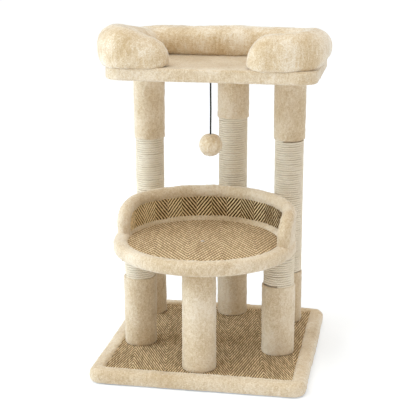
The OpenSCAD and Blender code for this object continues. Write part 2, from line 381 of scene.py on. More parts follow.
plush = plush_material("plush_short", ((0.56, 0.425, 0.265), (0.685, 0.56, 0.395), (0.80, 0.70, 0.565)),
                       patch=9.0, tuft=(1, 1, 0.6), tuft_scale=170, streaks=0.24, sheen=0.75)
plush_long = plush_material("plush_long", ((0.58, 0.43, 0.25), (0.71, 0.575, 0.395), (0.86, 0.775, 0.65)),
                            patch=12.0, tuft=(1, 1, 0.25), tuft_scale=150, streaks=0.22, sheen=1.0)


def rope_material():
    m = Nodes("sisal", Roughness=0.8, Specular_IOR_Level=0.2, Sheen_Weight=0.15, Sheen_Roughness=0.5)
    uv = m.add("UVMap")
    uv.uv_map = "strand"
    along, around = m.split(uv.outputs[0])[:2]
    # Three plies: the phase turns once round the rope over each lay length.
    lay = 0.011
    phase = m.madd(along, 1 / lay, around)
    ply = m.math("ABSOLUTE", m.math("SINE", m.mul(phase, 1.5 * TAU)))
    fibre = m.noise(1.0, 3, 0.7, m.combine(m.mul(along, 260), m.mul(phase, 22), 0.0))
    # Painted shade: ply colours the grooves between the plies darker and their crowns lighter, on top of the fibre and
    # the random patches.
    f = m.madd(fibre, 0.5, m.madd(ply, 0.3, m.mul(m.noise(30, 2, 0.6), 0.25)))
    return m.finish(f, [(0.28, (0.60, 0.49, 0.34)), (0.52, (0.83, 0.745, 0.60)), (0.75, (0.93, 0.87, 0.765))],
                    (fibre, 0.7, 0.95), (m.madd(fibre, 0.5, ply), 0.0006, 0.8))


def weave_material(name, stops, stitch, jitter, ribs, knots):
    """Ribbed jute weave, with painted shade in the valleys and painted highlights on the crowns of ribs and stitches.
    Its mesh stores rib, the phase across the ribs, and run, the length along them in mm.
    """
    m = Nodes(name, Roughness=0.9, Specular_IOR_Level=0.15, Sheen_Weight=0.08)
    rib, run = m.attribute("rib"), m.attribute("run")
    # Painted highlight and painted shade: crown is 1 on each rib's crest and 0 in the valley between ribs.
    crown = m.math("SINE", m.mul(m.math("FRACT", rib), math.pi))
    knot, speck = m.stitches(m.math("FLOOR", rib), run, stitch)
    fibre = m.noise(900, 2, 0.7)
    # Painted shade: ribs and knots set how much darker the valleys between ribs and between stitches are coloured than
    # the crowns.
    f = m.madd(crown, ribs, m.mul(knot, knots))
    f = m.vary(f, speck, 0.5, jitter * 0.6)
    f = m.vary(f, fibre, 0.5, 0.35)
    f = m.vary(f, m.noise(22, 3, 0.6), 0.5, 0.12)
    return m.finish(f, stops, (fibre, 0.8, 1.0), (m.madd(knot, 0.8, m.mul(fibre, 0.5)), WEAVE_BUMP, 0.8))


def board_material():
    m = Nodes("chipboard", Roughness=0.8, Specular_IOR_Level=0.3)
    chips = m.cells(330, m.stretch(m.coord, (1, 0.45, 1.3)), output="Color")
    f = m.madd(m.noise(60, 4, 0.6), 0.4, m.mul(m.split(chips)[0], 0.6))
    return m.finish(f, [(0.2, (0.36, 0.24, 0.13)), (0.55, (0.56, 0.41, 0.25)), (0.85, (0.70, 0.55, 0.37))],
                    (f, 0.7, 0.95), (f, 0.0004, 0.6))


def tube_material():
    m = Nodes("card_tube", Roughness=0.85, Specular_IOR_Level=0.2)
    x, _, z = m.split(m.coord)
    fibre = m.noise(300, 4, 0.7, m.stretch(m.coord, (1, 1, 0.2)))
    wind = m.math("FRACT", m.madd(z, 12.0, m.mul(x, 6.0)))
    f = m.madd(m.math("GREATER_THAN", wind, 0.97), -0.35, fibre)
    return m.finish(f, [(0.1, (0.30, 0.21, 0.12)), (0.5, (0.52, 0.39, 0.25)), (0.8, (0.62, 0.49, 0.34))],
                    (fibre, 0.75, 0.95), (f, 0.0003, 0.6))


def steel_material(name, low, high, rough0, rough1):
    m = Nodes(name, Metallic=1.0)
    brush = m.noise(700, 3, 0.7, m.stretch(m.coord, (1, 1, 0.12)))
    spots = m.noise(120, 3, 0.6)
    f = m.madd(brush, 0.5, m.mul(spots, 0.5))
    return m.finish(f, [(0.25, low), (0.75, high)], (spots, rough0, rough1), (brush, 0.00008, 0.5))


def plastic_material():
    m = Nodes("plug_plastic", Specular_IOR_Level=0.4)
    grain = m.noise(900, 2, 0.6)
    return m.finish(m.noise(40, 3, 0.5), [(0.3, (0.015, 0.015, 0.016)), (0.7, (0.035, 0.035, 0.036))],
                    (grain, 0.45, 0.65), (grain, 0.0001, 0.5))


def foam_material():
    m = Nodes("foam_sheet", Specular_IOR_Level=0.1)
    pores = m.cells(900)
    return m.finish(m.madd(pores, 0.5, m.mul(m.noise(30, 3, 0.5), 0.5)),
                    [(0.15, (0.62, 0.58, 0.48)), (0.5, (0.84, 0.81, 0.72)), (0.8, (0.90, 0.88, 0.82))],
                    (pores, 0.85, 1.0), (pores, 0.0004, 0.7))


def cord_material():
    m = Nodes("braided_cord", Specular_IOR_Level=0.2)
    # Strands cross both ways round the cord.
    strands = [m.noise(1500, 1, 0.5, m.stretch(m.coord, (1, 1, 0.5), (0.6 * k, 0.5 * k, 0))) for k in (1, -1)]
    f = m.math("MAXIMUM", *strands)
    return m.finish(f, [(0.35, (0.003, 0.003, 0.004)), (0.75, (0.016, 0.017, 0.020))],
                    (f, 0.55, 0.8), (f, 0.0003, 0.8))


rope_mat, board_mat, tube_mat = rope_material(), board_material(), tube_material()
plastic_mat, foam_mat, cord_mat = plastic_material(), foam_material(), cord_material()
# The dark low stops of these two weave ramps colour the valleys between ribs as painted shade. The pale top stops
# colour the crests as painted highlights.
base_weave = weave_material("weave_base", [
    (0.25, (0.05, 0.028, 0.009)), (0.50, (0.18, 0.113, 0.047)), (0.74, (0.50, 0.355, 0.19)),
    (0.98, (0.95, 0.77, 0.51))],
    stitch=8.0, jitter=0.35, ribs=0.62, knots=0.36)
perch_weave = weave_material("weave_perch", [
    (0.22, (0.15, 0.092, 0.038)), (0.50, (0.33, 0.225, 0.11)), (0.76, (0.56, 0.41, 0.24)), (1.0, (0.84, 0.69, 0.48))],
    stitch=10.0, jitter=0.3, ribs=0.74, knots=0.26)
zinc = steel_material("zinc_steel", (0.42, 0.42, 0.44), (0.66, 0.66, 0.68), 0.28, 0.45)
satin = steel_material("satin_steel", (0.40, 0.42, 0.44), (0.62, 0.64, 0.66), 0.35, 0.5)


def panel_material(run_start, run_length):
    """Two-tone herringbone: the ribs are alternately dark and tan. Each column holds run_length of rib (mm)."""
    m = Nodes("weave_panel", Roughness=0.9, Specular_IOR_Level=0.15, Sheen_Weight=0.05)
    rib, run = m.attribute("rib"), m.attribute("run")
    # Neighbouring columns are half a rib out of step, as in a broken twill.
    column = m.math("FLOOR", m.math("DIVIDE", m.math("SUBTRACT", run, run_start), run_length))
    rib = m.math("ADD", rib, m.math("FRACT", m.mul(column, 0.5)))
    within = m.math("FRACT", m.vary(rib, m.noise(260, 2, 0.6), 0.5, 0.35))
    stripe = m.madd(m.math("SINE", m.mul(within, TAU)), 0.5, 0.5)
    knot, speck = m.stitches(m.math("FLOOR", rib), run, 4.4)
    fibre = m.noise(800, 2, 0.7)
    f = m.vary(m.mul(stripe, 0.9), speck, 0.5, 0.22)
    # Painted shade and painted highlight: each stitch is coloured darker between stitches and lighter at its crown.
    f = m.vary(f, knot, 0.6, 0.14)
    f = m.vary(f, fibre, 0.5, 0.3)
    return m.finish(f, [(0.22, (0.075, 0.038, 0.012)), (0.38, (0.14, 0.078, 0.028)),
                        (0.54, (0.58, 0.41, 0.20)), (0.76, (0.92, 0.73, 0.45))],
                    (fibre, 0.8, 1.0), (m.madd(knot, 0.8, m.mul(fibre, 0.5)), WEAVE_BUMP, 0.8))


def set_material(ob, material):
    ob.data.materials.clear()
    ob.data.materials.append(material)


def finish_piece(ob, material, body="tree", nodes=()):
    set_material(ob, material)
    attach(ob, body)
    if nodes:
        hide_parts(*nodes)
    return ob


# ---------- toy: cord first ----------

ball_lo, ball_hi = box_mm("toy_ball")
ball_c, ball_r = (ball_lo + ball_hi) / 2, (ball_hi[2] - ball_lo[2]) / 2
toy_x, toy_y = float(ball_c[0]), float(ball_c[1])
CORD_D = 4.0
CORD_TOP, CORD_FOOT = 660.0, 537.5
# The cord hangs almost straight, with 0.4 mm of bow at its middle.
route = spaced([(toy_x, toy_y, CORD_TOP), (toy_x, toy_y, 640.0), (toy_x + 0.4, toy_y, 600.0), (toy_x, toy_y, 560.0),
                (toy_x, toy_y, CORD_FOOT)], 6.0)
curve = bpy.data.curves.new("toy_string", "CURVE")
curve.dimensions = "3D"
curve.bevel_depth = CORD_D / 2 * MM
curve.bevel_resolution = 4
curve.use_fill_caps = True
spline = curve.splines.new("POLY")
spline.points.add(len(route) - 1)
for sp, p in zip(spline.points, route):
    sp.co = (*(p * MM), 1)
toy_string = link("toy_string", curve)
finish_piece(toy_string, cord_mat, "toy", ["toy_cord"])

# The ball: four gores of long pile with sunk seams, drawn in at the cord's hole.
PILE_ROOT = 0.985  # share of the ball's radius under its pile
bm = bmesh.new()
bmesh.ops.create_icosphere(bm, subdivisions=6, radius=ball_r * MM * PILE_ROOT)
me = bpy.data.meshes.new("plush_ball")
bm.to_mesh(me)
bm.free()
plush_ball = link("plush_ball", me)
co = get_co(plush_ball)
unit = co / np.linalg.norm(co, axis=1)[:, None]
lon = np.arctan2(unit[:, 1], unit[:, 0])
polar = np.degrees(np.arccos(np.clip(unit[:, 2], -1, 1)))
gore = np.abs(((lon / TAU * 4 + 0.37) % 1) - 0.5) * 2
d = 0.7 * noise(co * [1, 1, 0.35], 2.6, 3) + 0.8 * noise(co * [1, 1, 0.5], 5.5, 4) + 0.7 * noise(co, 14, 5)
d -= 1.1 * np.exp(-(((1 - gore) * ball_r * np.sin(np.radians(polar)) * 0.785 / 1.3) ** 2))
d -= 3.2 * np.exp(-((polar / 9) ** 2)) + 1.0 * np.exp(-(((180 - polar) / 9) ** 2))
set_co(plush_ball, unit * (ball_r * PILE_ROOT + d)[:, None] + ball_c)
shade(plush_ball, True)
finish_piece(plush_ball, plush_long, "toy", ["toy_ball"])

# ---------- base ----------

BHX, BHY, BASE_H = box_mm("base_cover")[1]
CORNER = 30.0
mat_hi = box_mm("base_mat")[1]
MAT_Z = mat_hi[2]


def rounded_loop(hx, hy, r, n_arc, n_x, n_y):
    """Points round a rounded rectangle centred on the origin, the same number whatever its size."""
    out = []
    # Each corner comes with the end of the straight side that follows it and that side's number of steps.
    for sx, sy, a0, end, n in ((1, -1, -90, (hx, hy - r), n_y), (1, 1, 0, (r - hx, hy), n_x),
                               (-1, 1, 90, (-hx, r - hy), n_y), (-1, -1, 180, (hx - r, -hy), n_x)):
        out += arc_points(sx * (hx - r), sy * (hy - r), r, a0, a0 + 90, n_arc)
        x1, y1 = out[-1]
        out += [(x1 + (end[0] - x1) * k / n, y1 + (end[1] - y1) * k / n) for k in range(1, n)]
    return np.array(out)


# The border's section, as (inset from the outer face, z): padded, with a rounded shoulder and a soft inner edge.
section = [(34.0, 24.0), (33.4, 28.5), (32.2, 30.6), (30.4, 32.0), (28.0, 32.9)]
section += [(x, BASE_H + 0.5 * math.sin((28 - x) / 14 * math.pi)) for x in np.linspace(26, 14, 7)]
section += [(14 - 14 * math.sin(t), 19.0 + 14.0 * math.cos(t)) for t in sweep(9, 90, 12)]
section += [(-0.35, 17.0), (-0.5, 15.0), (-0.35, 13.0)]
section += [(9 - 9 * math.cos(t), 10.0 - 9.4 * math.sin(t)) for t in sweep(0, 90, 8)]
section += [(x, 0.6) for x in (12, 16, 20, 24, 28, 31)] + [(34.0, 0.6)]
section += [(34.0, z) for z in (6, 12, 18)]
section = np.array(section)
N_ARC, N_X, N_Y = 20, 190, 196
loops = [rounded_loop(BHX - d, BHY - d, max(CORNER - d, 2.5), N_ARC, N_X, N_Y) for d, z in section]
v = np.array([np.column_stack([lp, np.full(len(lp), z)]) for lp, (d, z) in zip(loops, section)])
plush_border = make("plush_border", v.reshape(-1, 3), grid_faces(len(section), v.shape[1], wrap_n=True, wrap_m=True))
soft = np.clip((get_co(plush_border)[:, 2] - 1.0) / 4, 0, 1)
fluff(plush_border, [(3.4, 0.75, 1), (8.0, 0.7, 2), (34.0, 0.9, 6), ((120, 120, 40), 0.8, 9)], weight=soft)
co = get_co(plush_border)
co[:, 2] = np.maximum(co[:, 2], 0.4)
set_co(plush_border, co)
finish_piece(plush_border, plush, nodes=["base_cover"])


POSTS = {place: upright("tube_" + place)[:2] for place in (
    "rear_left", "rear_right", "rear_centre", "short_left", "short_right", "short_front")}

# A thin lining under the base, with a hole for each post's bolt.
LINING_Z0, LINING_Z1 = 0.8, 2.8
BOLT_RECESS_R = 12.0
lp = rounded_loop(BHX - 32, BHY - 32, 3, 4, 40, 40)
n = len(lp)
v = np.concatenate([np.column_stack([lp, np.full(n, z)]) for z in (LINING_Z0, LINING_Z1)])
lining = make("base_lining", v, grid_faces(2, n, wrap_m=True))
bm = bmesh.new()
bm.from_mesh(lining.data)
bm.verts.ensure_lookup_table()
bm.faces.new([bm.verts[i] for i in range(n)][::-1])
bm.faces.new([bm.verts[n + i] for i in range(n)])
bmesh.ops.recalc_face_normals(bm, faces=bm.faces)
bm.to_mesh(lining.data)
bm.free()
cut_round(lining, POSTS.values(), BOLT_RECESS_R, -1, 5, 40, "DIFFERENCE", "EXACT")
shade(lining, False)


def lining_material():
    m = Nodes("nonwoven_lining", Roughness=0.95, Specular_IOR_Level=0.1)
    dots = m.cells(420)
    fibre = m.noise(500, 4, 0.7)
    f = m.madd(fibre, 0.6, m.mul(dots, 0.5))
    return m.finish(f, [(0.25, (0.42, 0.34, 0.23)), (0.7, (0.62, 0.52, 0.38))],
                    (fibre, 0.85, 1.0), (f, 0.0003, 0.6))


finish_piece(lining, lining_material())


# ---------- woven mats ----------


def herringbone(x0, x1, y0, y1, pitch, slope, column, x_step, sub, height, seed):
    """A sheet of zigzag ribs, in mm. They run along x at +-slope, turn at each column and stack along y at the pitch.
    Each rib has sub points across it. Returns grids of x, y, height, rib phase and run along the rib."""
    n_col = int(round((x1 - x0) / column))
    column = (x1 - x0) / n_col
    per = max(1, int(round(column / x_step)))
    xs = x0 + np.arange(n_col * per + 1) * column / per
    tri = np.abs(((xs - x0) / column) % 2 - 1)
    zig = (1 - tri) * column * slope
    rows = int(math.ceil((y1 - y0 + column * slope) / pitch)) + 1
    k = np.arange(rows * sub + 1) / sub
    X, K = np.meshgrid(xs, k, indexing="ij")
    Y = y0 - column * slope + K * pitch + zig[:, None]
    profile = np.abs(np.sin(np.pi * K)) ** 0.75
    flat = np.column_stack([X.ravel(), Y.ravel(), np.zeros(X.size)])
    run = X * math.hypot(1, slope)
    wob = noise(flat, 3.5, seed) * 0.22 + noise(flat, 1.7, seed + 1) * 0.12
    h = height * (profile.ravel() * (1 + wob) + 0.35 * wob)
    return X, Y, h.reshape(X.shape), K, run


def store_weave(ob, rib, run):
    """Stores the rib phase and the run on both sides of a woven solid."""
    add_attribute(ob, "rib", np.concatenate([rib.ravel()] * 2))
    add_attribute(ob, "run", np.concatenate([run.ravel()] * 2))


def sheet_solid(name, X, Y, top, bottom_z, rib, run):
    """A closed solid: the ribbed top over a flat underside."""
    up = np.column_stack([X.ravel(), Y.ravel(), top.ravel()])
    down = np.column_stack([X.ravel(), Y.ravel(), np.full(X.size, bottom_z)])
    ob = two_sided(name, up, down, *X.shape)
    store_weave(ob, rib, run)
    return ob


def trim_planes(ob, planes):
    """Cuts a solid by planes (point, outward normal) in mm and caps each cut."""
    bm = bmesh.new()
    bm.from_mesh(ob.data)
    for point, normal in planes:
        cut = bmesh.ops.bisect_plane(bm, geom=bm.verts[:] + bm.edges[:] + bm.faces[:], plane_co=Vector(point) * MM,
                                     plane_no=normal, clear_outer=True, dist=1e-7)
        edges = [e for e in cut["geom_cut"] if isinstance(e, bmesh.types.BMEdge)]
        bmesh.ops.holes_fill(bm, edges=edges, sides=0)
    bm.to_mesh(ob.data)
    bm.free()
    ob.data.update()


mx, my = mat_hi[0] + 0.6, mat_hi[1] + 0.6
# Both mats have long steep zigzags, so their ribs run mostly front to back.
LEAN = 0.18  # sideways per length: the base mat's weave leans a little
LEAN_ROOM = 50
X, Y, H, RIB, RUN = herringbone(-mx - LEAN_ROOM, mx + LEAN_ROOM, -my - 2, my + 2, pitch=16.5, slope=2.8, column=80.0,
                                x_step=1.6, sub=7, height=1.2, seed=21)
base_mat_ob = sheet_solid("woven_mat_base", X - LEAN * Y, Y, MAT_Z - 0.9 + H, MAT_Z - 5.5, RIB, RUN)
trim_planes(base_mat_ob, [((mx, 0, 0), (1, 0, 0)), ((-mx, 0, 0), (-1, 0, 0)),
                          ((0, my, 0), (0, 1, 0)), ((0, -my, 0), (0, -1, 0))])
finish_piece(base_mat_ob, base_weave, nodes=["base_mat"])

*PERCH, mat_r, _, PM_TOP = upright("perch_mat")
MAT_CUT = mat_r + 7
ROOM = MAT_CUT + 8
X, Y, H, RIB, RUN = herringbone(-ROOM, ROOM, -ROOM, ROOM, pitch=18.5, slope=2.0, column=74.0, x_step=1.4, sub=8,
                                height=1.2, seed=31)
# The round mat was cut with its weave a little askew.
ASKEW = math.radians(10)
X, Y = X * math.cos(ASKEW) - Y * math.sin(ASKEW), X * math.sin(ASKEW) + Y * math.cos(ASKEW)
perch_mat_ob = sheet_solid("woven_mat_perch", X + PERCH[0], Y + PERCH[1], PM_TOP + 0.5 + H, PM_TOP - 4.6, RIB, RUN)
cut_round(perch_mat_ob, [PERCH], MAT_CUT, PM_TOP - 15, PM_TOP + 15, 128, "INTERSECT", "FAST")
finish_piece(perch_mat_ob, perch_weave, nodes=["perch_mat"])

# ---------- posts ----------

SLEEVE_SEGMENTS = 124
SLEEVE_BORE, HEM_R = 31.7, 2.4


def sleeve(name, node, seed):
    """A plush sleeve with rounded hems and one sewn seam at the back."""
    cx, cy, r, z0, z1 = upright(node)
    inner, e = SLEEVE_BORE, HEM_R
    prof = [(inner, z0 + 0.2), (r - e, z0 + 0.2)]
    prof += [(r - e + e * math.sin(t), z0 + 0.2 + e - e * math.cos(t)) for t in np.radians((25, 50, 72, 90))]
    n = int(round((z1 - z0 - 2 * e) / 2.1))
    prof += [(r, z0 + 0.2 + e + (z1 - z0 - 0.4 - 2 * e) * k / n) for k in range(1, n + 1)]
    prof += [(r - e + e * math.cos(t), z1 - 0.2 - e + e * math.sin(t)) for t in np.radians((18, 40, 65, 90))]
    prof += [(inner, z1 - 0.2)]
    phase = 90 + 12 * math.sin(seed * 2.1)

    def shape(rad, a, z):
        outer = (rad > inner + 1).astype(float)
        away = ((np.degrees(a) - phase + 180) % 360 - 180) * math.pi / 180 * r
        seam = -1.5 * np.exp(-((away / 1.5) ** 2)) + 0.7 * np.exp(-(((np.abs(away) - 4) / 2) ** 2))
        hem = 0.5 * np.exp(-(((z - z0 - 7) / 4) ** 2)) + 0.5 * np.exp(-(((z - z1 + 7) / 4) ** 2))
        oval = 0.35 * np.cos(2 * a + seed) + 0.3 * np.sin((z - z0) / 47 + seed)
        return rad + outer * (seam + hem + oval), z

    ob = lathe(name, (cx, cy), prof, SLEEVE_SEGMENTS, shape=shape)
    co = get_co(ob)
    rad = np.hypot(co[:, 0] - cx, co[:, 1] - cy)
    w = smooth01((rad - inner - 0.5) / 3)
    fluff(ob, [(3.0, 0.6, seed), ((6.5, 6.5, 10), 0.5, seed + 40), ((22, 22, 34), 0.5, seed + 80)], weight=w)
    co = get_co(ob)
    co[:, 2] = np.clip(co[:, 2], z0 + 0.05, z1 - 0.05)
    set_co(ob, co)
    return finish_piece(ob, plush, nodes=[node])


for k, place in enumerate(("top_left", "top_right", "top_centre", "low_left", "low_right", "low_centre",
                           "short_left", "short_right", "short_front")):
    sleeve("plush_" + place, "sleeve_" + place, 11 + k)

ROPE_PITCH, ROPE_R = 5.5, 2.58
ROPE_STEPS, ROPE_SIDES = 96, 8


def rope_wrap(name, node, seed):
    """One long sisal rope wound round the tube."""
    cx, cy, r_out, z0, z1 = upright(node)
    # It stands a little proud of the CAD shell, and its ends are tucked under the sleeves.
    r_out, z0, z1 = r_out + 0.8, z0 - 2.0, z1 + 2.0
    turns = (z1 - z0 - 2 * ROPE_R) / ROPE_PITCH
    n = int(turns * ROPE_STEPS)
    k = np.arange(n + 1)
    a = k / ROPE_STEPS * TAU + seed
    turn = k / ROPE_STEPS
    rng = np.random.default_rng(seed)

    def drift(per_turn):
        knots = rng.normal(0, 1, (int(turns) + 2) * per_turn)
        return np.interp(turn * per_turn, np.arange(len(knots)), knots)

    wander, swell = drift(6), drift(9)
    z = z0 + ROPE_R + turn / turns * (z1 - z0 - 2 * ROPE_R) + 0.22 * wander
    z = np.clip(z, z0 + ROPE_R, z1 - ROPE_R)
    mid = r_out - ROPE_R + 0.12 * swell
    phi = np.arange(ROPE_SIDES) / ROPE_SIDES * TAU
    rr = ROPE_R * (1 + 0.035 * swell)
    # Three plies show as three lobes, turning round the rope as it runs.
    lobes = 1 + 0.07 * np.cos(3 * (phi[None] - (turn * TAU * 2.7)[:, None]))
    rad = mid[:, None] + rr[:, None] * lobes * np.cos(phi)[None]
    zz = z[:, None] + rr[:, None] * lobes * np.sin(phi)[None] * 1.02
    v = np.stack([cx + rad * np.cos(a)[:, None], cy + rad * np.sin(a)[:, None], zz], -1).reshape(-1, 3)
    quads, caps = grid_faces(n + 1, ROPE_SIDES, wrap_m=True), end_caps(n + 1, ROPE_SIDES)
    v = np.concatenate([v, [v[:ROPE_SIDES].mean(0), v[-ROPE_SIDES:].mean(0)]])
    ob = make(name, v, quads, caps)
    flipped = volume(v, quads, caps) < 0
    length = turn * TAU * (r_out - ROPE_R) * MM
    u0, u1 = np.repeat(length[:-1], ROPE_SIDES), np.repeat(length[1:], ROPE_SIDES)
    w0 = np.tile(np.arange(ROPE_SIDES) / ROPE_SIDES, n)
    w1 = w0 + 1 / ROPE_SIDES
    uv = np.stack([np.stack(pair, -1) for pair in ((u0, w0), (u0, w1), (u1, w1), (u1, w0))], 1)
    if flipped:
        uv = uv[:, ::-1]
    uv = np.concatenate([uv.reshape(-1, 2), np.zeros((len(caps) * 3, 2))])
    layer = ob.data.uv_layers.new(name="strand")
    layer.data.foreach_set("uv", uv.astype(np.float32).ravel())
    return finish_piece(ob, rope_mat, nodes=[node])


for k, place in enumerate(("rear_left", "rear_right", "rear_centre", "short_left", "short_right")):
    rope_wrap("sisal_" + place, "rope_" + place, 51 + k)

# ---------- perch ----------

_, _, rim_out, PERCH_Z, rim_top = upright("perch_cover")
RIM_R = 17.0
RIM_RING, RIM_Z = rim_out - RIM_R, rim_top - RIM_R
_, _, BOARD_R, BOARD_Z0, BOARD_Z1 = upright("perch_board")
prof = [(BOARD_R + 0.2, BOARD_Z1 + 0.1), (BOARD_R + 0.2, BOARD_Z0 - 0.1)]
prof += [(r, BOARD_Z0 - 0.1) for r in (170, 120, 70, 24, 4)]
prof += [(4, PERCH_Z + 0.2)] + [(r, PERCH_Z + 0.2) for r in (24, 50, 76, 102, 124, 142, 158, 170, 178, 184)]
roll = sweep(-118, 172, 54)
SQUARE = 2 / 2.7  # the rim's section is a superellipse, a little squarer than a circle
prof += [(RIM_RING + RIM_R * math.copysign(abs(math.cos(t)) ** SQUARE, math.cos(t)),
          RIM_Z + RIM_R * math.copysign(abs(math.sin(t)) ** SQUARE, math.sin(t))) for t in roll]
prof += [(BOARD_R - 16, BOARD_Z1 + 0.1)]


def rim_shape(rad, a, z):
    """The roll is wider inwards at the right and the back, narrower at the left."""
    reach = RIM_RING - (177.5 - 3 * np.cos(a) - 4.5 * np.sin(a))
    inner = (rad < RIM_RING) & (z > PERCH_Z + 14)
    return np.where(inner, RIM_RING - (RIM_RING - rad) * reach / RIM_R, rad), z


perch_rim = lathe("plush_perch_rim", PERCH, prof, 620, shape=rim_shape)
co = get_co(perch_rim)
rad = np.hypot(co[:, 0] - PERCH[0], co[:, 1] - PERCH[1])
w = smooth01((rad - 172) / 8) * smooth01((co[:, 2] - PERCH_Z - 1) / 4)
fluff(perch_rim, [(3.2, 0.8, 61), (7.5, 0.8, 62), (28, 0.9, 63)], weight=w)
finish_piece(perch_rim, plush, nodes=["perch_cover"])

# ---------- perch wall ----------

WALL_R = 197.0
ROLL_R = 16.0
ROLL_Z = box_mm("wall_trim")[1][2] - ROLL_R
FROM, TO = math.radians(-13), math.radians(179.5)
# Reach along the wall and height of each rounded corner.
LEFT_CORNER, RIGHT_CORNER = (88.0, 40.0), (56.0, 44.0)


def trim_path():
    """The roll's centreline as (arc length at WALL_R, z): up the left end, along the top and down the right end."""
    s0, s1 = FROM * WALL_R, TO * WALL_R
    foot = RIM_Z + 10
    (a, b), (c, d) = LEFT_CORNER, RIGHT_CORNER
    pts = [(s1, foot), (s1, ROLL_Z - b)]
    pts += [(s1 - a + a * math.cos(t), ROLL_Z - b + b * math.sin(t)) for t in sweep(6, 90, 21)]
    pts += [(s0 + c - c * math.sin(t), ROLL_Z - d + d * math.cos(t)) for t in sweep(0, 90, 21)]
    pts += [(s0, foot)]
    return spaced(pts, 2.3)


path = trim_path()
n = len(path)
theta = path[:, 0] / WALL_R
radial = np.stack([np.cos(theta), np.sin(theta), np.zeros(n)], -1)
centre = np.column_stack([PERCH[0] + WALL_R * np.cos(theta), PERCH[1] + WALL_R * np.sin(theta), path[:, 1]])
tangent = np.gradient(centre, axis=0)
tangent /= np.linalg.norm(tangent, axis=1)[:, None]
tangent = (tangent + np.roll(tangent, 1, 0) + np.roll(tangent, -1, 0)) / 3
tangent[0], tangent[-1] = (0, 0, 1), (0, 0, -1)
tangent /= np.linalg.norm(tangent, axis=1)[:, None]
side = np.cross(tangent, radial)
side /= np.linalg.norm(side, axis=1)[:, None]
SEG = 48
phi = np.arange(SEG) / SEG * TAU
# The board inside leaves the roll a little taller than it is thick.
around = np.cos(phi)[None, :, None] * radial[:, None] + np.sin(phi)[None, :, None] * side[:, None] * 1.02
v = (centre[:, None] + ROLL_R * around).reshape(-1, 3)
wall_roll = make("plush_wall_roll", np.concatenate([v, centre[:1], centre[-1:]]), grid_faces(n, SEG, wrap_m=True),
                 end_caps(n, SEG))
fluff(wall_roll, [(3.2, 0.7, 71), (7.5, 0.7, 72), (28, 0.9, 73)])
finish_piece(wall_roll, plush, nodes=["wall_trim"])


def round_perch(r, a, z):
    return np.stack([PERCH[0] + r * np.cos(a), PERCH[1] + r * np.sin(a), z], -1)


def wall_patch(name, r0, r1, a0, a1, z0, z1, step, bulge):
    """A padded sheet bent round the perch, closed all round, and its number of outer points."""
    na, nz = int((a1 - a0) * r1 / step), int((z1 - z0) / step)
    A, Z = np.meshgrid(np.linspace(a0, a1, na), np.linspace(z0, z1, nz), indexing="ij")
    edge = np.minimum(1, np.minimum((Z - z0), (z1 - Z)) / 9.0)
    rr = r1 - bulge * (1 - np.sqrt(np.clip(1 - (1 - edge) ** 2, 0, 1)))
    outer, inner = (round_perch(r, A, Z).reshape(-1, 3) for r in (rr, r0))
    return two_sided(name, outer, inner, na, nz), na * nz


def wall_top(angle):
    """Height of the roll's centreline at an angle round the wall."""
    order = np.argsort(path[4:-4, 0])
    return np.interp(angle * WALL_R, path[4:-4, 0][order], path[4:-4, 1][order])


def perch_angle(co):
    """Each point's angle round the perch, from -90 to 270 degrees."""
    ang = np.arctan2(co[:, 1] - PERCH[1], co[:, 0] - PERCH[0])
    return np.where(ang < -math.pi / 2, ang + TAU, ang)


def drop_to_roll(ob, z_low, z_high):
    """Squeezes a wall sheet down where its top edge would rise past the roll's centreline."""
    co = get_co(ob)
    k = np.clip((wall_top(perch_angle(co)) - 2 - z_low) / (z_high - z_low), 0.02, 1)
    co[:, 2] = np.where(co[:, 2] > z_low, z_low + (co[:, 2] - z_low) * k, co[:, 2])
    set_co(ob, co)


z_lo, z_hi = RIM_Z + 8, ROLL_Z - 4
wall_back, n_out = wall_patch("plush_wall_back", WALL_R + 0.5, WALL_R + 14.2, FROM + 0.03, TO - 0.03, z_lo, z_hi,
                              step=2.4, bulge=3.0)
drop_to_roll(wall_back, z_lo, z_hi)
w = np.zeros(len(wall_back.data.vertices))
w[:n_out] = 1
fluff(wall_back, [(3.0, 0.42, 81), (7.5, 0.5, 82), (30, 1.0, 83)], weight=w)
finish_piece(wall_back, plush, nodes=["wall_cover"])

# The woven panel inside the wall: zigzag ribs bent round the perch.
PANEL_R = 186.6
a_lo, a_hi = FROM + 0.035, TO - 0.035
z_lo, z_hi = RIM_Z + 9, ROLL_Z - 7
PANEL_SLOPE, PANEL_COLUMN = 1.25, 38.0
S, Zp, H, RIB, RUN = herringbone(a_lo * PANEL_R, a_hi * PANEL_R, z_lo, z_hi, pitch=10.8, slope=PANEL_SLOPE,
                                 column=PANEL_COLUMN, x_step=3.1, sub=8, height=1.5, seed=91)
columns = round((a_hi - a_lo) * PANEL_R / PANEL_COLUMN)
A = S / PANEL_R
front, back = (round_perch(r, A, Zp).reshape(-1, 3) for r in (PANEL_R - 0.6 - H, PANEL_R + 0.3))
wall_weave = two_sided("woven_wall_panel", front, back, *S.shape)
store_weave(wall_weave, RIB, RUN)
trim_planes(wall_weave, [((0, 0, z_hi), (0, 0, 1)), ((0, 0, z_lo), (0, 0, -1))])
co = get_co(wall_weave)
co[:, 2] = np.minimum(co[:, 2], wall_top(perch_angle(co)) - 3)
set_co(wall_weave, co)
rib_length = math.hypot(1, PANEL_SLOPE)
panel_mat = panel_material(a_lo * PANEL_R * rib_length, (a_hi - a_lo) * PANEL_R / columns * rib_length)
finish_piece(wall_weave, panel_mat, nodes=["wall_panel"])

# ---------- top bed ----------

d_lo, d_hi = box_mm("deck_cover")
DECK_Z0, DECK_Z1 = d_lo[2], d_hi[2]
DECK_R, DECK_EDGE, SEAT_DIP = 42.0, 6.0, 2.0
# The fabric is drawn in at both ends.
d_lo, d_hi = d_lo + [2, 0, 0], d_hi - [2, 0, 0]
DECK_C, DECK_HALF = (d_lo + d_hi) / 2, (d_hi - d_lo) / 2


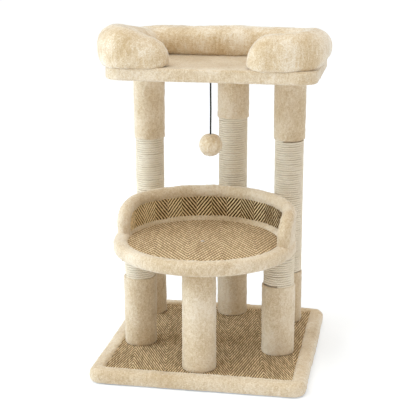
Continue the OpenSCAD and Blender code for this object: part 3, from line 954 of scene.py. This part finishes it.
def slab_axis(lo, hi, step):
    """Coordinates from lo to hi, closer together near both ends."""
    near = np.array([0, 0.35, 1.0, 2.0, 3.3, 5.0, 7.0, 9.2])
    n = int(round((hi - lo - 2 * near[-1]) / step))
    mid = np.linspace(lo + near[-1], hi - near[-1], n + 1)
    return np.concatenate([lo + near[:-1], mid, (hi - near[:-1])[::-1]])


def deck_surface(x, y):
    """Height of the deck's padded top at (x, y) and the distance from its edge."""
    ax = np.abs(x - DECK_C[0]) - (DECK_HALF[0] - DECK_R)
    ay = np.abs(y - DECK_C[1]) - (DECK_HALF[1] - DECK_R)
    outside = np.hypot(np.maximum(ax, 0), np.maximum(ay, 0)) + np.minimum(np.maximum(ax, ay), 0)
    dist = DECK_R - outside
    e = np.clip(dist, 0, DECK_EDGE)
    shoulder = DECK_EDGE - np.sqrt(np.clip(DECK_EDGE**2 - (DECK_EDGE - e) ** 2, 0, None))
    dip = SEAT_DIP * smooth01((dist - 20) / 90)
    return DECK_Z1 - shoulder - dip, dist


def build_deck():
    """The deck's cover: a rounded slab with padded edges."""
    xs, ys = slab_axis(d_lo[0], d_hi[0], 2.5), slab_axis(d_lo[1], d_hi[1], 2.5)
    X, Y = np.meshgrid(xs, ys, indexing="ij")
    (cx, cy), (hx, hy) = DECK_C[:2], DECK_HALF[:2]
    a = np.maximum(np.abs(X - cx) - (hx - DECK_R), 0) / DECK_R
    b = np.maximum(np.abs(Y - cy) - (hy - DECK_R), 0) / DECK_R
    corner = (a > 0) & (b > 0)
    length = np.where(corner, np.hypot(a, b), 1)
    scale = np.where(corner, np.maximum(a, b) / length, 1)
    X = np.where(corner, cx + np.sign(X - cx) * (hx - DECK_R + a * scale * DECK_R), X)
    Y = np.where(corner, cy + np.sign(Y - cy) * (hy - DECK_R + b * scale * DECK_R), Y)
    top, dist = deck_surface(X, Y)
    e = np.clip(dist, 0, DECK_EDGE)
    bottom = DECK_Z0 + DECK_EDGE - np.sqrt(np.clip(DECK_EDGE**2 - (DECK_EDGE - e) ** 2, 0, None))
    n, m = X.shape
    up = np.stack([X, Y, top], -1).reshape(-1, 3)
    down = np.stack([X, Y, bottom], -1).reshape(-1, 3)
    ring = edge_ring(n, m)
    levels = 7
    rings = [up[ring] * (1 - k / levels) + down[ring] * (k / levels) for k in range(1, levels)]
    v = np.concatenate([up, down] + rings)
    faces = [grid_faces(n, m), grid_faces(n, m, start=n * m)[:, ::-1]]
    R = len(ring)
    chain = [ring] + [2 * n * m + k * R + np.arange(R) for k in range(levels - 1)] + [ring + n * m]
    for p, q in zip(chain[:-1], chain[1:]):
        faces.append(np.stack([p, np.roll(p, -1), np.roll(q, -1), q], -1)[:, ::-1])
    return make("plush_deck", v, np.concatenate(faces))


deck = build_deck()
co = get_co(deck)
top_side = smooth01((co[:, 2] - DECK_Z0 - 1) / 3)
fluff(deck, [(3.4, 0.9, 101), (8.0, 0.8, 102), ((34, 34, 20), 1.1, 103), ((90, 90, 60), 1.2, 104)],
      weight=0.2 + 0.55 * top_side)
finish_piece(deck, plush, nodes=["deck_cover"])

# ---------- bolster ----------

# Height of the roll's top near each tip, as (distance from the tip, share of the full height).
TIP_LEFT = ([0, 3, 7, 17, 37, 61, 77, 92, 112], [0.22, 0.36, 0.48, 0.63, 0.775, 0.865, 0.93, 0.97, 1.0])
TIP_RIGHT = ([0, 2, 5, 12, 26, 43, 66], [0.22, 0.34, 0.48, 0.66, 0.86, 0.97, 1.0])
DOME = 52.0  # distance from a tip over which the roll reaches its full width


def distance_along(points):
    return np.concatenate([[0], np.cumsum(np.linalg.norm(np.diff(points[:, :2], axis=0), axis=1))])


def bolster_route():
    """The roll's route from the left tip round the back to the right tip, as (x, y, half width, height of its top)."""
    pts = [(-97, -50, 47, 788), (-157, -51, 48, 790), (-186, -52, 49, 795)]
    pts += [(x, y, 50, 797) for x, y in arc_points(-192, -18, 36, 262, 190, 6)]
    pts += [(-228, -5, 49, 796), (-226, 60, 46, 788), (-220, 105, 46, 781), (-214, 140, 48, 775)]
    pts += [(x, y, 50, 772) for x, y in arc_points(-164, 146, 48, 170, 100, 6)]
    pts += [(-150, 195, 51, 770.5), (0, 196, 51, 770.5), (150, 195, 51, 771)]
    pts += [(x, y, 50, 772) for x, y in arc_points(166, 146, 48, 80, 10, 6)]
    pts += [(216, 140, 48, 776), (221, 105, 46, 780), (222, 60, 45, 789), (221, 8, 46, 793)]
    pts += [(x, y, 47, 790) for x, y in arc_points(173, -4, 48, -20, -70, 6)]
    pts += [(167, -51, 48, 786), (140, -51, 48, 785), (82, -50, 47, 784)]
    pts = np.array(pts, float)
    s = distance_along(pts)
    t = np.arange(0, s[-1], 4.0)
    out = np.column_stack([np.interp(t, s, pts[:, k]) for k in range(4)])
    for _ in range(14):
        out[1:-1] = (out[:-2] + 2 * out[1:-1] + out[2:]) / 4
    return out


def bolster_mesh(shrink):
    """The roll, made smaller all round by shrink (mm) before it is inflated."""
    route = bolster_route()
    s = distance_along(route)
    total = s[-1]
    # Denser stations near both domed tips.
    near = 60 * (1 - np.cos(np.linspace(0, math.pi / 2, 16)))[1:]
    st = np.concatenate([near, np.arange(64, total - 62, 4.5), (total - near)[::-1]])
    pt = np.column_stack([np.interp(st, s, route[:, k]) for k in range(4)])
    edge = np.minimum(st, total - st)
    plan = np.sqrt(np.clip(1 - np.clip(1 - edge / DOME, 0, 1) ** 2.3, 0, 1))
    rise = np.minimum(np.interp(st, *TIP_LEFT), np.interp(total - st, *TIP_RIGHT))
    tan = np.gradient(pt[:, :2], axis=0)
    tan /= np.linalg.norm(tan, axis=1)[:, None]
    out = np.column_stack([-tan[:, 1], tan[:, 0]])
    out = out if (out[len(out) // 2] @ [0, 1]) > 0 else -out
    segs = 56
    phi = np.arange(segs) / segs * TAU
    c, sn = np.cos(phi)[None], np.sin(phi)[None]
    half = pt[:, 2] - shrink
    floor_z = DECK_Z1 - 2.0 + shrink
    top = floor_z + (pt[:, 3] - shrink - floor_z) * rise
    zc = floor_z + 0.46 * (top - floor_z)
    front = smooth01((-out[:, 1] - 0.2) / 0.6)[:, None]
    low_power = 0.78 - 0.40 * front
    wide = np.where(sn < 0, np.abs(c) ** low_power, np.abs(c) ** 0.95) * np.sign(c)
    h = half[:, None] * wide * plan[:, None]
    up_part = np.maximum(sn, 0) * (top - zc)[:, None]
    outward = smooth01((c - 0.2) / 0.4)
    depth = (zc - floor_z)[:, None] + 10.0 * outward * plan[:, None]
    down_part = np.where(sn < 0, np.abs(sn) ** low_power, 0) * depth
    z = zc[:, None] + up_part - down_part
    xy = pt[:, None, :2] + h[..., None] * out[:, None]
    v = np.concatenate([xy, z[..., None]], -1).reshape(-1, 3)
    n = len(pt)
    ends = np.array([[*route[0, :2], zc[0]], [*route[-1, :2], zc[-1]]])
    return make("plush_bolster", np.concatenate([v, ends]), grid_faces(n, segs, wrap_m=True), end_caps(n, segs))


def inflate(ob, pressure, frames, cap):
    """Blows the piece up with a short cloth run; no point moves further than cap (mm)."""
    start = get_co(ob)
    cloth = ob.modifiers.new("Cloth", "CLOTH")
    st = cloth.settings
    st.quality = 5
    st.mass = 0.3
    st.tension_stiffness = st.compression_stiffness = 15
    st.shear_stiffness = 8
    st.bending_stiffness = 0.6
    st.use_pressure = True
    st.uniform_pressure_force = pressure
    st.effector_weights.gravity = 0
    cloth.collision_settings.use_collision = False
    cloth.point_cache.frame_start, cloth.point_cache.frame_end = 1, frames
    scene = bpy.context.scene
    for f in range(1, frames + 1):
        scene.frame_set(f)
    dg = bpy.context.evaluated_depsgraph_get()
    ev = ob.evaluated_get(dg)
    end = np.empty(len(ev.data.vertices) * 3, np.float32)
    ev.data.vertices.foreach_get("co", end)
    end = end.reshape(-1, 3).astype(float) / MM
    ob.modifiers.clear()
    scene.frame_set(1)
    move = end - start
    dist = np.linalg.norm(move, axis=1)
    move *= (np.minimum(dist, cap) / np.maximum(dist, 1e-9))[:, None]
    set_co(ob, start + move)


SHRINK = 3.0
bolster = bolster_mesh(SHRINK)
modify(bolster, "REMESH", mode="VOXEL", voxel_size=5.2 * MM, use_smooth_shade=True)
modify(bolster, "SMOOTH", factor=0.5, iterations=4)
inflate(bolster, pressure=4.0, frames=20, cap=8.0)
modify(bolster, "SUBSURF", levels=1, render_levels=1)
co = get_co(bolster)
deck_z, dist = deck_surface(co[:, 0], co[:, 1])
floor = np.where(dist > 0, np.minimum(deck_z, DECK_Z1) - 1.0, DECK_Z1 - 8)
co[:, 2] = np.maximum(co[:, 2], floor)
set_co(bolster, co)
low = smooth01((co[:, 2] - DECK_Z1 + 8) / 10)
fluff(bolster, [((3.0, 3.0, 7.0), 0.6, 111), ((6.0, 6.0, 14.0), 0.5, 112), (18, 0.6, 113), (52, 1.5, 114)],
      weight=0.3 + 0.7 * low)
shade(bolster, True)
finish_piece(bolster, plush_long, nodes=["bolster"])

# ---------- carried-over CAD parts ----------

CAD_LOOKS = (
    (board_mat, ("base_board", "perch_board", "wall_board", "deck_board")),
    (zinc, ("base_bolts", "base_washers", "perch_bolts", "perch_washers", "deck_bolts", "deck_washers",
            "wall_screws", "toy_staple")),
    (satin, ("perch_screw",)), (plastic_mat, ("plugs_lower", "plugs_upper")), (foam_mat, ("deck_foam",)),
    (cord_mat, ("toy_knot",)), (tube_mat, ["tube_" + place for place in POSTS]),
)
for material, names in CAD_LOOKS:
    for node in names:
        set_material(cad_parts[node], material)

# ---------- stage and light ----------


def floor_material():
    m = bpy.data.materials.new("studio_floor")
    m.use_nodes = True
    t = m.node_tree
    t.nodes.clear()
    diff = add_node(t, "BsdfDiffuse", Color=(0.90, 0.90, 0.90, 1))
    emit = add_node(t, "Emission", Color=(0.14, 0.19, 0.26, 1), Strength=1.0)
    both = add_node(t, "AddShader")
    t.links.new(diff.outputs[0], both.inputs[0])
    t.links.new(emit.outputs[0], both.inputs[1])
    add_node(t, "OutputMaterial", Surface=both.outputs[0])
    return m


FAR = 30000.0
floor_ob = make("studio_floor", [(-FAR, -FAR, 0), (FAR, -FAR, 0), (FAR, FAR, 0), (-FAR, FAR, 0)], [[0, 1, 2, 3]],
                closed=False)
set_material(floor_ob, floor_material())


def area_light(name, location, target, size, watts, colour):
    data = bpy.data.lights.new(name, "AREA")
    data.shape = "DISK"
    data.size = size
    data.energy = watts
    data.color = colour
    ob = link(name, data)
    ob.location = location
    ob.rotation_euler = (Vector(target) - Vector(location)).to_track_quat("-Z", "Y").to_euler()


area_light("key", (-4.26, -0.98, 1.55), (0, 0, 0.35), 1.8, 101, (0.73, 0.89, 1.0))
area_light("top", (-1.3, -2.1, 3.9), (0, 0.1, 0.45), 2.0, 33, (0.90, 0.96, 1.0))
area_light("fill", (3.3, 1.8, 1.5), (0, 0, 0.4), 2.4, 8, (0.90, 0.96, 1.0))

# The room is pale along the horizon, dim just above it and bright overhead.
PALE, DIM, BRIGHT = (0.70, 0.70, 0.70, 1), (0.12, 0.11, 0.095, 1), (0.98, 0.93, 0.84, 1)
world = bpy.data.worlds.new("studio")
bpy.context.scene.world = world
world.use_nodes = True
tree = world.node_tree
background = tree.nodes["Background"]
sky_split = add_node(tree, "SeparateXYZ", Vector=add_node(tree, "TexCoord").outputs["Generated"])
sky_ramp = add_node(tree, "ValToRGB", Fac=sky_split.outputs[2])
for position, colour in ((0.0, PALE), (0.03, PALE), (0.05, DIM)):
    sky_ramp.color_ramp.elements.new(position).color = colour
sky_ramp.color_ramp.elements[0].color = PALE
sky_ramp.color_ramp.elements[-1].color = BRIGHT
tree.links.new(sky_ramp.outputs[0], background.inputs["Color"])
background.inputs["Strength"].default_value = 1.45
bpy.context.scene.view_settings.view_transform = "Standard"
